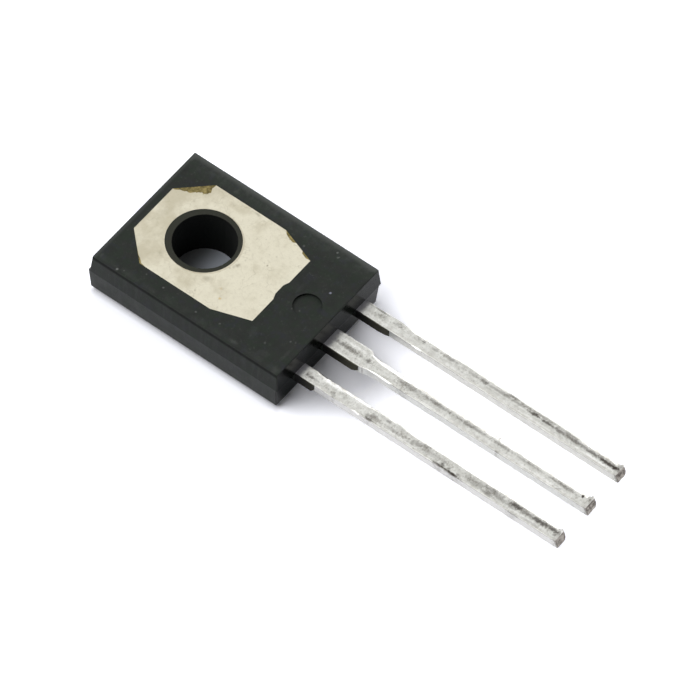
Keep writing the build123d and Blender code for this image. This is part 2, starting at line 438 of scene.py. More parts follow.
def use(shared, inputs):
    """Places a shared group in a material, and returns its outputs."""
    return place("ShaderNodeGroup", inputs, node_tree=shared).outputs


# Stain: an oval patch with a ragged border, seen from above. Its distance from the centre in
# half sizes, shaken by noise, is compared with 1.
stain, given, made = group(
    "stain",
    [
        ("Millimetres", "Vector", None), ("Centre", "Vector", None),
        ("Half Size", "Vector", (1, 1, 1)), ("Turn", "Float", 0.0), ("Softness", "Float", 0.3),
        ("Raggedness", "Float", 0.3), ("Lumps", "Float", 4.0),
    ],
    [("Mask", "Float")],
)
offset = vector_calc("SUBTRACT", given["Millimetres"], given["Centre"])[0]
scaled = vector_calc("DIVIDE", turned(offset, given["Turn"]), given["Half Size"])[0]
distance = vector_calc("LENGTH", scaled)["Value"]
shake = less(cloud(given["Millimetres"], given["Lumps"], 3.0, 0.6), 0.5)
shaken = plus(distance, times(shake, 4.0, given["Raggedness"]))
inner = inverted(given["Softness"])
stain.links.new(inverted(range_mask(shaken, inner, 1.0)), made["Mask"])

# Grain: fine bumps of a matt surface as a height, and slow clouds as a mottle from 0 to 1.
grain, given, made = group(
    "grain",
    [("Millimetres", "Vector", None), ("Fine", "Float", 20.0), ("Coarse", "Float", 2.0)],
    [("Height", "Float"), ("Mottle", "Float")],
)
fine = cloud(given["Millimetres"], given["Fine"], 2.0, 0.6)
coarse = cloud(given["Millimetres"], given["Coarse"], 3.0, 0.55)
grain.links.new(plus(fine, times(coarse, 0.6)), made["Height"])
grain.links.new(range_mask(coarse, 0.3, 0.7), made["Mottle"])


def new_material(name):
    """A new material with its shader, and its object coordinates in millimetres and normal."""
    material = bpy.data.materials.new(name)
    material.use_nodes = True
    tree = material.node_tree
    tree.nodes.clear()
    output = tree.nodes.new("ShaderNodeOutputMaterial")
    shader = tree.nodes.new("ShaderNodeBsdfPrincipled")
    tree.links.new(shader.outputs[0], output.inputs[0])
    coordinates = tree.nodes.new("ShaderNodeTexCoord").outputs
    position = mapped(coordinates["Object"], (1 / MM, 1 / MM, 1 / MM))
    return material, shader, position, coordinates["Normal"]


def feed(shader, colour, rough, metal, height=None, strength=0.5, depth=0.000012):
    """Gives a shader its colour, roughness, share of metal and fine relief."""
    links = shader.id_data.links
    for name, value in (("Base Color", colour), ("Roughness", rough), ("Metallic", metal)):
        if isinstance(value, bpy.types.NodeSocket):
            links.new(value, shader.inputs[name])
        else:
            shader.inputs[name].default_value = value
    if height is not None:
        relief = place(
            "ShaderNodeBump", {"Height": height, "Strength": strength, "Distance": depth}
        )
        links.new(relief.outputs[0], shader.inputs["Normal"])


def stains(position, patches, **common):
    """The strongest of several stains, each (x, y, half x, half y, turn in degrees, strength)."""
    mask = 0.0
    for x, y, half_x, half_y, turn, strength in patches:
        patch = use(stain, {
            "Millimetres": position, "Centre": (x, y, 0), "Half Size": (half_x, half_y, 1000),
            "Turn": math.radians(-turn), **common,
        })["Mask"]
        mask = larger(mask, times(patch, strength))
    return mask


def tin_nodes(position, normal, seed, painted_lit_side_tin, bright_edge, painted_highlights, mottles, smears):
    """Colour, roughness and height of dull tin on a lead.

    Dark specks crowd where the mottles are, and the smears are grease and bare, tarnished
    metal at their own places. Painted highlights are bright patches of colour where the tin
    catches the light, and the rolled right edge is mottled more strongly. The sides get a
    lighter tin than the top, painted as the light falls on them. Painted shade lies on the
    upper left edge but for the planed part, on the right side near the housing and on the
    first part outside the epoxy. The cut end is torn, tarnished metal.
    """
    y = parts(position)["Y"]
    sideways, lengthways, facing = parts(normal)
    upper = range_mask(facing, 0.6, 0.95)
    shifted = mapped(position, shift=(seed * 3.1, seed * 1.7, 0))
    lumps = cloud(shifted, 3.2, 3.0, 0.6)
    specks = cloud(shifted, 11.0, 3.0, 0.7)
    blotch = range_mask(cloud(shifted, 4.6, 4.0, 0.7), 0.34, 0.66)
    drawn = mapped(shifted, (9.0, 0.7, 1.0))
    lines = range_mask(cloud(drawn, 1.0, 2.0, 0.5), 0.3, 0.7)
    crowd = stains(position, mottles, Softness=0.9, Raggedness=0.25, Lumps=3.0)
    crowd = times(crowd, range_mask(lumps, 0.25, 0.6))
    crowd = plus(times(crowd, 0.9), 0.2)
    limit = less(0.66, times(crowd, 0.24))
    speck = range_mask(less(specks, limit), -0.08, 0.13)
    speck = times(speck, plus(times(upper, 0.65), 0.35))
    smear = stains(position, smears, Softness=0.75, Raggedness=0.45, Lumps=7.0)
    smear = times(smear, range_mask(facing, -0.2, 0.3))
    shade = blend(lines, (0.54, 0.54, 0.505, 1), (0.70, 0.70, 0.665, 1))
    shade = blend(times(blotch, 0.5), shade, (0.76, 0.765, 0.735, 1))
    dull = plus(times(inverted(blotch), 0.35), times(crowd, 0.2))
    shade = blend(dull, shade, (0.40, 0.395, 0.36, 1))
    # The sides take a lighter tin of their own, painted as the light falls on them.
    side = blend(times(inverted(blotch), 0.2), painted_lit_side_tin, (0.5, 0.49, 0.45, 1))
    # Painted highlights: bright patches of colour where the tin catches the light.
    painted_highlight = stains(position, painted_highlights, Softness=0.8, Raggedness=0.4, Lumps=5.0)
    shade = blend(times(painted_highlight, 0.9), shade, (0.92, 0.92, 0.90, 1))
    patchy = blend(
        range_mask(plus(times(lumps, 0.6), times(specks, 0.4)), 0.4, 0.58),
        (0.40, 0.39, 0.36, 1),
        (0.72, 0.72, 0.70, 1),
    )
    shade = blend(times(range_mask(sideways, 0.15, 0.38), 0.9), shade, patchy)
    colour = blend(upper, side, shade)
    # Painted shade along the upper left edge, but for the planed part.
    edge = times(range_mask(times(sideways, -1.0), 0.12, 0.4), range_mask(facing, 0.0, 0.25))
    near_end, far_end = bright_edge
    planed = band(y, far_end, far_end + 0.1, near_end - 0.1, near_end)
    edge = times(edge, inverted(planed))
    colour = blend(times(edge, plus(0.6, times(lumps, 0.5))), colour, (0.24, 0.235, 0.22, 1))
    # Painted shade on the right side of the lead near the housing.
    painted_shade_right_side = times(
        range_mask(sideways, 0.5, 0.75), range_mask(plus(y, times(specks, 2.0)), -12.0, -8.0)
    )
    colour = blend(times(painted_shade_right_side, 0.85), colour, (0.12, 0.11, 0.10, 1))
    colour = blend(times(speck, 0.62), colour, (0.2, 0.185, 0.16, 1))
    colour = blend(smear, colour, (0.055, 0.048, 0.042, 1))
    # Painted shade on the first part of the lead outside the epoxy, next to the housing.
    root = range_mask(plus(y, times(lumps, 0.5)), -7.6, -7.25)
    colour = blend(times(root, 0.85), colour, (0.2, 0.195, 0.22, 1))
    cut_end = inverted(range_mask(y, LEAD_TIP_Y + 0.25, LEAD_TIP_Y + 0.28))
    cut_end = times(cut_end, range_mask(magnitude(lengthways), 0.7, 0.9))
    near_tip = times(
        inverted(range_mask(y, LEAD_TIP_Y + 0.1, LEAD_TIP_Y + 0.45)), range_mask(blotch, 0.2, 0.8)
    )
    colour = blend(
        times(near_tip, less(0.7, times(range_mask(sideways, -0.1, 0.3), 0.7))),
        colour,
        (0.36, 0.34, 0.31, 1),
    )
    torn = blend(
        range_mask(cloud(shifted, 5.0, 3.0, 0.7), 0.35, 0.65),
        (0.14, 0.125, 0.11, 1),
        (0.44, 0.41, 0.37, 1),
    )
    torn = blend(times(range_mask(sideways, 0.0, 0.35), 0.85), torn, (0.07, 0.055, 0.045, 1))
    colour = blend(cut_end, colour, torn)
    rough = plus(0.3, times(crowd, 0.12))
    rough = plus(rough, times(larger(smear, cut_end), 0.2))
    height = plus(lumps, times(specks, 0.5))
    return colour, rough, height


def edge_bleed(position, corner, towards, widths):
    """1 where epoxy has crept over the plate from a straight edge, to widths given along it.

    The distance in from the edge is compared with a curve of widths, shaken by noise. The inside
    of the plate is on the right of the line from the corner onwards.
    """
    run = np.array(towards, float) - corner
    length = float(np.hypot(*run))
    turn = math.atan2(run[1], run[0])
    offset = vector_calc("SUBTRACT", position, (*corner, 0))[0]
    onwards, inwards, _ = parts(turned(offset, -turn))
    curve = place("ShaderNodeFloatCurve", {"Value": times(onwards, 1 / length)})
    points = curve.mapping.curves[0].points
    for share, width in widths[1:-1]:
        points.new(share, width)
    points[0].location, points[-1].location = widths[0], widths[-1]
    curve.mapping.clip_min_y = -1
    for point in points:
        point.handle_type = "VECTOR"
    curve.mapping.update()
    ragged = times(less(cloud(position, 5.0, 4.0, 0.65), 0.5), 0.45)
    wide = times(curve.outputs[0], plus(1.0, times(ragged, 2.0)))
    reach = plus(wide, inwards)
    return range_mask(reach, 0.0, 0.035)


nickel, shader, position, normal = new_material("nickel_and_tin")
_, y, z = parts(position)
off_lead = range_mask(y, -5.3, -5.1)
on_lead = inverted(off_lead)
surface = use(grain, {"Millimetres": position, "Fine": 16.0, "Coarse": 1.3})
stretch = mapped(position, (0.8, 0.8, 1))
haze = range_mask(plus(cloud(stretch, 1.1, 4.0, 0.6), times(y, 0.04)), 0.36, 0.7)
plate_colour = blend(haze, (0.615, 0.585, 0.475, 1), (0.48, 0.445, 0.34, 1))
plate_colour = blend(
    times(range_mask(cloud(position, 7.0, 2.0, 0.6), 0.5, 0.75), 0.25),
    plate_colour,
    (0.40, 0.365, 0.28, 1),
)
dirt = stains(
    position,
    [
        (-0.13, -2.03, 0.17, 0.15, 0, 0.6), (-0.3, -1.95, 0.16, 0.12, 0, 0.3),
        (0.72, -3.12, 0.08, 0.06, 0, 0.75), (-2.47, -1.36, 0.09, 0.06, 20, 0.5),
        (0.33, -2.13, 0.09, 0.07, 0, 0.3), (-1.6, -1.4, 0.25, 0.3, 20, 0.33),
        (-1.6, -2.3, 0.15, 0.15, 0, 0.2), (0.1, 2.55, 0.7, 0.35, 0, 0.1),
        (-1.8, 1.2, 0.15, 0.2, 0, 0.2), (2.75, -0.95, 0.12, 0.28, 0, 0.45),
        (1.62, -1.8, 0.08, 0.06, 0, 0.25), (1.85, -2.15, 0.07, 0.07, 0, 0.22),
        (-2.57, -2.76, 0.08, 0.06, 0, 0.25), (1.6, -4.25, 0.08, 0.06, 0, 0.25),
        (-0.45, -1.84, 0.1, 0.08, 0, 0.35), (0.62, -1.85, 0.3, 0.03, -35, 0.25),
    ],
    Softness=0.95, Raggedness=0.3, Lumps=6.0,
)
plate_colour = blend(dirt, plate_colour, (0.20, 0.18, 0.13, 1))
noise = {"Vector": position, "Scale": 0.9, "Detail": 3.0, "Roughness": 0.6}
bent = vector_calc("ADD", position, place("ShaderNodeTexNoise", noise).outputs["Color"])[0]
cells = place("ShaderNodeTexVoronoi", {"Vector": bent, "Scale": 0.9}, feature="DISTANCE_TO_EDGE")
hairs = cells.outputs["Distance"]
hairs = times(
    inverted(range_mask(hairs, 0.0, 0.022)), range_mask(cloud(position, 1.4, 2.0, 0.6), 0.42, 0.6)
)
plate_colour = blend(times(hairs, 0.28), plate_colour, (0.30, 0.27, 0.2, 1))
blotch = range_mask(cloud(position, 3.2, 4.0, 0.65), 0.35, 0.7)
plate_colour = blend(times(blotch, 0.1), plate_colour, (0.36, 0.33, 0.25, 1))
rust = stains(
    position, [(-2.12, -2.55, 0.12, 0.1, 0, 0.7), (-1.63, -2.25, 0.1, 0.12, 0, 0.25)],
    Softness=0.9, Raggedness=0.3, Lumps=6.0,
)
plate_colour = blend(rust, plate_colour, (0.47, 0.33, 0.12, 1))
head_bleed = edge_bleed(position, (1.30, 3.205), (2.85, 1.6), [
    (0.0, -0.1), (0.09, -0.02), (0.13, 0.08), (0.24, 0.12), (0.32, 0.22), (0.44, 0.3), (0.56, 0.34),
    (0.68, 0.4), (0.8, 0.52), (0.88, 0.42), (0.92, 0.2), (1.0, 0.05),
])
taper_bleed = edge_bleed(position, (2.85, -2.55), (2.17, -4.5), [
    (0.0, 0.02), (0.05, 0.06), (0.1, 0.13), (0.25, 0.16), (0.36, 0.13), (0.42, 0.02),
    (0.68, 0.02), (0.73, 0.11), (0.88, 0.12), (0.95, 0.05), (1.0, 0.02),
])
side_widths = [(0.0, 0.0), (0.5, 0.04), (1.0, 0.08)]
corner_widths = [(0.0, 0.09), (0.15, 0.08), (0.25, 0.03), (1.0, 0.0)]
side_bleed = edge_bleed(position, (-2.85, 1.2), (-2.85, 1.6), side_widths)
corner_bleed = edge_bleed(position, (-2.85, 1.6), (-1.45, 3.05), corner_widths)
bleed = larger(head_bleed, taper_bleed, side_bleed, corner_bleed)
bleed = times(bleed, range_mask(z, 2.6, 2.65))
amber = blend(
    range_mask(cloud(position, 5.0, 3.0, 0.65), 0.35, 0.68),
    (0.10, 0.08, 0.028, 1),
    (0.265, 0.215, 0.085, 1),
)
hole_rim = inverted(range_mask(axis_distance(position), 1.83, 1.88))
plate_colour = blend(times(hole_rim, 0.25), plate_colour, (0.24, 0.18, 0.10, 1))
plate_colour = blend(bleed, plate_colour, amber)
tin_colour, tin_rough, tin_height = tin_nodes(
    position, normal, seed=2, painted_lit_side_tin=(0.90, 0.90, 0.86, 1), bright_edge=(-9.5, -11.25),
    painted_highlights=[
        (0.28, -8.6, 0.12, 1.0, 0, 0.5), (0.42, -9.75, 0.14, 0.35, 20, 0.9),
        (-0.22, -19.5, 0.12, 2.8, 0, 0.45), (0.25, -22.32, 0.12, 0.1, 0, 1.0),
        (-0.3, -13.5, 0.08, 1.5, 0, 0.4),
    ],
    mottles=[
        (0.0, -8.7, 0.3, 1.3, 0, 0.75), (0.0, -9.8, 0.2, 0.6, 0, 0.4),
        (-0.05, -11.8, 0.28, 1.0, 0, 0.9), (0.0, -13.2, 0.22, 0.9, 0, 0.9),
        (0.03, -15.0, 0.13, 1.5, 0, 0.8), (0.04, -17.0, 0.12, 1.3, 0, 0.8),
        (0.04, -19.2, 0.1, 1.6, 0, 0.7), (0.04, -20.8, 0.14, 1.2, 0, 0.9),
        (-0.35, -11.9, 0.08, 0.5, 0, 0.8), (-0.36, -17.4, 0.06, 0.3, 0, 0.9),
        (0.1, -22.3, 0.3, 0.25, 0, 0.7), (0.22, -15.0, 0.08, 3.5, 0, 0.5),
        (0.25, -12.8, 0.1, 0.8, 0, 0.9),
    ],
    smears=[
        (0.0, -8.5, 0.16, 1.2, 0, 0.5), (-0.02, -9.62, 0.15, 0.17, 0, 0.7),
        (-0.47, -9.6, 0.05, 0.05, 0, 1.0), (0.02, -12.0, 0.2, 1.0, 0, 0.4),
        (0.04, -13.6, 0.15, 1.2, 0, 0.5), (0.03, -15.6, 0.13, 1.2, 0, 0.5),
        (0.04, -17.3, 0.12, 1.0, 0, 0.45), (0.03, -18.9, 0.1, 1.2, 0, 0.35),
        (0.03, -20.9, 0.13, 1.1, 0, 0.5), (0.13, -21.87, 0.12, 0.12, 0, 1.0),
        (-0.37, -17.3, 0.07, 0.14, 0, 0.6), (-0.25, -20.7, 0.07, 0.2, 30, 0.35),
        (0.15, -22.25, 0.1, 0.12, 40, 0.4), (-0.42, -11.8, 0.07, 0.6, 0, 0.5),
        (0.0, -22.45, 0.25, 0.1, 0, 0.4),
    ],
)
plate_rough = plus(0.46, times(bleed, 0.08))
colour = blend(on_lead, plate_colour, tin_colour)
mixed_rough = plus(times(plate_rough, off_lead), times(tin_rough, on_lead))
mixed_height = plus(times(surface["Height"], off_lead), times(tin_height, on_lead))
metal_share = inverted(times(bleed, 0.2))
feed(shader, colour, mixed_rough, metal_share, mixed_height)
coat(stamping, nickel)
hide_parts("collector_frame")
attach(stamping, "root")

# --- Outer leads ----------------------------------------------------------------------------
# Base and emitter lead: strips stamped from the thin gauge, with a wide pad inside the epoxy
# that holds them and takes the bond wire. Tinned after moulding and cut off at the tips.

LEAD_PITCH = 2.29


def outer_lead(name, seed, centre, right, painted_lit_side_tin, bright_edge, painted_highlights, mottles, smears, **cuts):
    """One outer lead with its tin, from the bonding pad to the tip."""
    piece = new_piece(name, *capped_tube(*lead_strip(
        seed, centre,
        left_knots=[(-5.1, -0.8), (-6.32, -0.8), (-6.72, -0.36), (-23, -0.36)],
        right_knots=[(-5.1, 0.8), (-6.32, 0.8), (-6.72, 0.36), (-7.3, right), (-23, right)],
        rise_knots=[(-5.1, 0.0), (-23, 0.0)], **cuts,
    )))
    material, shader, position, normal = new_material("tinned_" + name)
    tin = tin_nodes(position, normal, seed, painted_lit_side_tin, bright_edge, painted_highlights, mottles, smears)
    colour, rough, height = tin
    feed(shader, colour, rough, 1.0, height)
    coat(piece, material)
    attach(piece, "root")
    return piece


base_strip = outer_lead(
    "base_lead_strip", seed=31, centre=-LEAD_PITCH, right=0.39,
    painted_lit_side_tin=(0.81, 0.80, 0.77, 1), bright_edge=(-10.55, -11.15),
    roll_knots=[(-5, 0.06), (-8.1, 0.06), (-8.4, 0.2), (-11.2, 0.22), (-11.8, 0.12), (-23, 0.14)],
    planed_left=[(10.5, 11.15, 0.05)], planed_right=[(8.1, 11.3, 0.16), (13.0, 22.1, 0.13)],
    burrs=(19.5, 21.0, 0.02), head=(0.0, 0.04, 0.05, 0.0), flash_end=8.7,
    painted_highlights=[
        (-2.05, -22.3, 0.12, 0.1, 0, 1.0), (-2.08, -9.2, 0.14, 1.0, 0, 0.9),
        (-2.12, -10.6, 0.1, 0.7, 0, 0.6), (-2.48, -20.3, 0.1, 1.6, 0, 0.5),
        (-2.52, -13.5, 0.1, 1.3, 0, 0.4),
    ],
    mottles=[
        (-2.33, -8.0, 0.25, 0.5, 0, 0.8), (-2.4, -9.2, 0.22, 0.8, 0, 0.55),
        (-2.35, -10.4, 0.2, 0.7, 0, 0.4), (-2.38, -11.9, 0.28, 0.8, 0, 0.9),
        (-2.35, -13.4, 0.3, 0.9, 0, 0.75), (-2.28, -14.6, 0.28, 0.7, 0, 1.0),
        (-2.3, -15.9, 0.26, 0.8, 0, 0.75), (-2.3, -17.4, 0.3, 0.8, 0, 0.65),
        (-2.3, -18.5, 0.3, 0.8, 0, 1.0), (-2.2, -20.0, 0.24, 1.3, 0, 1.0),
        (-2.2, -21.4, 0.22, 1.3, 0, 1.0), (-2.7, -19.9, 0.1, 0.5, 0, 0.7),
    ],
    smears=[
        (-2.35, -7.9, 0.12, 0.12, 0, 0.55), (-2.36, -8.15, 0.12, 0.15, 0, 0.7),
        (-2.35, -8.4, 0.1, 0.25, 0, 0.35), (-2.58, -11.6, 0.09, 0.5, 0, 0.8),
        (-2.4, -11.6, 0.2, 0.4, 30, 0.45), (-2.3, -11.8, 0.12, 0.2, 0, 0.4),
        (-2.1, -12.4, 0.1, 0.15, 0, 0.5), (-2.48, -9.5, 0.15, 0.2, 0, 0.35),
        (-2.35, -10.0, 0.1, 0.1, 0, 0.3), (-2.62, -9.55, 0.06, 0.12, 0, 0.5),
        (-2.35, -12.9, 0.12, 0.7, 0, 0.3), (-2.25, -14.3, 0.2, 0.8, 20, 0.42),
        (-2.6, -15.65, 0.1, 0.45, 0, 0.85), (-2.6, -16.42, 0.11, 0.7, 0, 1.0),
        (-2.59, -16.0, 0.06, 0.9, 0, 1.0), (-2.48, -15.8, 0.15, 0.2, 0, 0.7),
        (-2.3, -15.8, 0.12, 0.2, 0, 0.4), (-2.47, -16.15, 0.09, 0.15, 40, 0.5),
        (-2.5, -16.7, 0.1, 0.2, 0, 0.5), (-2.35, -17.6, 0.25, 0.9, 0, 0.3),
        (-2.42, -18.4, 0.2, 0.5, 0, 0.45), (-2.2, -18.5, 0.16, 1.0, 0, 0.55),
        (-2.2, -19.8, 0.2, 0.6, 0, 0.9), (-2.22, -20.4, 0.18, 0.8, 0, 0.55),
        (-2.2, -21.2, 0.18, 0.8, 0, 0.85), (-2.18, -21.9, 0.16, 0.6, 0, 0.85),
        (-2.35, -22.15, 0.2, 0.1, -50, 0.6), (-2.65, -19.9, 0.08, 0.4, 0, 0.4),
        (-2.3, -19.6, 0.25, 0.5, 0, 0.4), (-2.28, -18.9, 0.22, 0.9, 0, 0.4),
        (-2.3, -15.0, 0.25, 0.9, 0, 0.3), (-2.69, -19.9, 0.12, 0.5, 0, 0.5),
        (-2.69, -16.9, 0.1, 0.4, 0, 0.4), (-2.5, -20.9, 0.08, 0.7, 0, 0.35),
    ],
)
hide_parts("base_lead")

emitter_strip = outer_lead(
    "emitter_lead_strip", seed=41, centre=LEAD_PITCH, right=0.38,
    painted_lit_side_tin=(0.89, 0.88, 0.83, 1), bright_edge=(-10.55, -11.2),
    roll_knots=[
        (-5, 0.04), (-9.6, 0.04), (-10.2, 0.16), (-13, 0.14), (-18, 0.12), (-20, 0.2), (-23, 0.2)
    ],
    planed_left=[(10.45, 11.2, 0.04)], planed_right=[(9.8, 13.0, 0.1), (19.6, 22.1, 0.2)],
    burrs=(11.0, 14.0, 0.012), head=(0.0, 0.04, 0.05, 0.0), flash_end=10.0,
    painted_highlights=[
        (2.55, -22.35, 0.12, 0.1, 0, 1.0), (2.1, -20.9, 0.1, 1.7, 0, 0.75),
        (2.08, -17.5, 0.08, 2.0, 0, 0.4), (2.1, -13.0, 0.1, 1.2, 0, 0.4),
        (2.55, -12.2, 0.08, 0.8, 0, 0.5),
    ],
    mottles=[
        (2.35, -8.5, 0.3, 0.7, 0, 0.6), (2.42, -9.6, 0.22, 0.5, 0, 0.6),
        (2.45, -10.9, 0.2, 0.6, 0, 0.5), (2.45, -12.4, 0.18, 0.9, 0, 0.85),
        (2.42, -14.3, 0.18, 0.8, 0, 0.9), (2.48, -16.0, 0.2, 0.8, 0, 0.9),
        (2.45, -17.6, 0.22, 1.0, 0, 1.0), (2.44, -19.4, 0.3, 1.4, 0, 1.0),
        (2.42, -21.4, 0.3, 1.2, 0, 1.0), (2.5, -16.8, 0.14, 3.5, 0, 0.8),
    ],
    smears=[
        (2.6, -8.4, 0.09, 0.8, 0, 0.6), (2.4, -8.6, 0.2, 0.4, 0, 0.25),
        (2.45, -9.5, 0.15, 0.5, 0, 0.3), (2.42, -10.95, 0.08, 0.15, 0, 0.5),
        (2.42, -11.7, 0.12, 0.25, 0, 0.4), (2.43, -12.6, 0.12, 0.5, 0, 0.45),
        (2.38, -13.9, 0.1, 0.4, 0, 0.35), (2.38, -14.55, 0.14, 0.45, 0, 0.6),
        (2.42, -15.7, 0.14, 0.4, 0, 0.4), (2.54, -16.1, 0.12, 0.4, 0, 0.6),
        (2.4, -16.5, 0.12, 0.6, 0, 0.45), (2.38, -17.4, 0.12, 0.5, 0, 0.85),
        (2.36, -18.15, 0.13, 0.45, 0, 0.85), (2.34, -18.9, 0.12, 0.7, 0, 0.7),
        (2.32, -19.8, 0.12, 0.9, 0, 0.65), (2.3, -20.8, 0.12, 0.8, 0, 0.75),
        (2.28, -21.6, 0.14, 0.8, 0, 0.95), (2.28, -22.1, 0.16, 0.4, 0, 1.0),
        (2.5, -22.3, 0.14, 0.1, 0, 0.5), (2.5, -17.6, 0.12, 1.4, 0, 0.3),
        (2.5, -19.2, 0.1, 1.0, 0, 0.3), (2.38, -15.5, 0.09, 3.0, 0, 0.4),
        (2.34, -19.8, 0.12, 2.8, 0, 0.6),
    ],
)
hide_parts("emitter_lead")

# --- Solder, die and bond wires -------------------------------------------------------------
# The silicon die sits on a film of soft solder under the plate, and two aluminium wires join
# it to the outer leads. All four are sealed in the epoxy.


def sealed_metal(name, held_by, fine, coarse, dark, light, rough, uneven, metal, bumps=None):
    """A mottled metal for pieces inside the epoxy; bumps are a strength and a depth."""
    material, shader, position, _ = new_material(name)
    surface = use(grain, {"Millimetres": position, "Fine": fine, "Coarse": coarse})
    rough = plus(rough, times(surface["Mottle"], uneven))
    relief = (surface["Height"], *bumps) if bumps else ()
    feed(shader, blend(surface["Mottle"], dark, light), rough, metal, *relief)
    for node in held_by:
        coat(nodes[node], material)


sealed_metal(
    "soft_solder", ["die_attach_solder"], 12.0, 3.0, (0.46, 0.46, 0.47, 1), (0.60, 0.60, 0.61, 1),
    rough=0.3, uneven=0.15, metal=1.0, bumps=(0.4, 0.00002),
)
sealed_metal(
    "polished_silicon", ["silicon_die"], 25.0, 1.5, (0.17, 0.18, 0.21, 1), (0.23, 0.24, 0.28, 1),
    rough=0.12, uneven=0.08, metal=0.7,
)
sealed_metal(
    "drawn_aluminium", ["base_bond_wire", "emitter_bond_wire"], 30.0, 6.0,
    (0.74, 0.74, 0.76, 1), (0.85, 0.85, 0.87, 1), rough=0.22, uneven=0.1, metal=1.0,
)

# --- Housing --------------------------------------------------------------------------------
# Black epoxy with a fine mineral filler, moulded round the frame in a two-part mould. The back
# face is matt and a little dusty, and the drafted walls are satin from sliding out of the mould.

epoxy, shader, position, normal = new_material("black_epoxy")
x, y, z = parts(position)
_, lengthways, facing = parts(normal)
surface = use(grain, {"Millimetres": position, "Fine": 24.0, "Coarse": 1.6})
wall = inverted(range_mask(magnitude(facing), 0.3, 0.8))
end_wall = times(range_mask(magnitude(lengthways), 0.5, 0.9), wall)
colour = blend(surface["Mottle"], (0.0115, 0.0135, 0.0115, 1), (0.0165, 0.018, 0.016, 1))
green = range_mask(cloud(position, 2.4, 4.0, 0.7), 0.42, 0.62)
colour = blend(times(green, 0.6), colour, (0.0125, 0.020, 0.0125, 1))
blue = range_mask(cloud(mapped(position, shift=(7, 3, 5)), 1.7, 4.0, 0.7), 0.5, 0.68)
colour = blend(times(blue, 0.6), colour, (0.017, 0.018, 0.024, 1))
scuffs = range_mask(cloud(position, 6.5, 4.0, 0.75), 0.54, 0.8)
colour = blend(times(scuffs, plus(0.35, times(wall, -0.1))), colour, (0.075, 0.085, 0.07, 1))
dust = stains(
    position,
    [
        (-3.76, 2.2, 0.09, 0.09, 0, 1.0), (-3.62, 1.9, 0.06, 0.06, 0, 0.35),
        (-3.14, 0.95, 0.07, 0.07, 0, 0.3), (-3.25, -0.13, 0.08, 0.08, 0, 0.4),
        (-3.4, -2.15, 0.08, 0.08, 0, 0.4), (-3.23, -3.43, 0.08, 0.08, 0, 0.35),
        (-2.0, -6.6, 0.09, 0.08, 0, 0.3), (-1.9, -6.82, 0.1, 0.06, 30, 0.15),
        (-2.78, -5.72, 0.1, 0.08, 0, 0.25), (3.32, -5.2, 0.08, 0.07, 0, 0.6),
        (3.12, -5.4, 0.12, 0.08, -20, 0.45), (2.66, -3.75, 0.1, 0.08, 0, 0.3),
        (-0.3, -5.8, 0.07, 0.07, 0, 0.25), (-0.5, -5.5, 0.07, 0.07, 0, 0.2),
        (3.15, 0.6, 0.2, 0.25, 0, 0.12), (-3.62, -4.6, 0.14, 0.3, 0, 0.15),
        (-3.55, 3.25, 0.2, 0.1, 0, 0.12), (-3.7, -7.05, 0.35, 0.25, 20, 0.1),
        (-2.7, -6.9, 0.8, 0.12, 0, 0.06), (3.45, 3.4, 0.3, 0.2, 0, 0.12),
        (3.6, -6.9, 0.25, 0.5, 0, 0.12), (-3.3, -6.0, 0.3, 0.5, 20, 0.06),
        (-2.6, -4.9, 0.5, 0.3, 30, 0.05), (0.7, -5.1, 0.5, 0.2, 0, 0.04),
    ],
    Softness=0.9, Raggedness=0.3, Lumps=7.0,
)
colour = blend(times(dust, 0.55), colour, (0.28, 0.29, 0.28, 1))
blue_mote = stains(
    position, [(1.3, -6.35, 0.09, 0.08, 0, 0.9)], Softness=0.9, Raggedness=0.2, Lumps=9.0
)
colour = blend(blue_mote, colour, (0.25, 0.26, 0.33, 1))
top_face = inverted(wall)
shoulder = times(band(x, -3.84, -3.72, -3.7, -3.35), top_face)
shoulder = times(shoulder, range_mask(cloud(position, 1.6, 4.0, 0.7), 0.3, 0.65))
colour = blend(times(shoulder, 0.15), colour, (0.07, 0.08, 0.07, 1))
# The top face is lighter towards its +X side.
lighter_towards_plus_x = times(range_mask(x, 2.6, 3.7), top_face)
lighter_towards_plus_x = times(lighter_towards_plus_x, plus(0.4, range_mask(cloud(position, 3.0, 4.0, 0.7), 0.35, 0.7)))
colour = blend(times(lighter_towards_plus_x, 0.25), colour, (0.075, 0.085, 0.075, 1))
# Painted highlight along the rounded +X and head edges of the top face.
painted_edge_highlight = times(larger(range_mask(x, 3.38, 3.72), times(range_mask(y, 3.28, 3.56), 0.7)), top_face)
colour = blend(times(painted_edge_highlight, 0.75), colour, (0.085, 0.09, 0.085, 1))
drag = cloud(mapped(position, (5.0, 5.0, 0.6)), 1.0, 3.0, 0.6)
colour = blend(times(range_mask(drag, 0.45, 0.7), wall, 0.25), colour, (0.045, 0.05, 0.047, 1))
from_axis = axis_distance(position)
# Painted shade on the walls of the mounting hole.
painted_shade_in_bore = times(inverted(range_mask(from_axis, 1.6, 1.75)), wall)
colour = blend(times(painted_shade_in_bore, 0.9), colour, (0.003, 0.0033, 0.003, 1))
ring = times(inverted(range_mask(from_axis, 1.8, 1.9)), top_face)
colour = blend(times(ring, 0.6), colour, (0.026, 0.026, 0.017, 1))
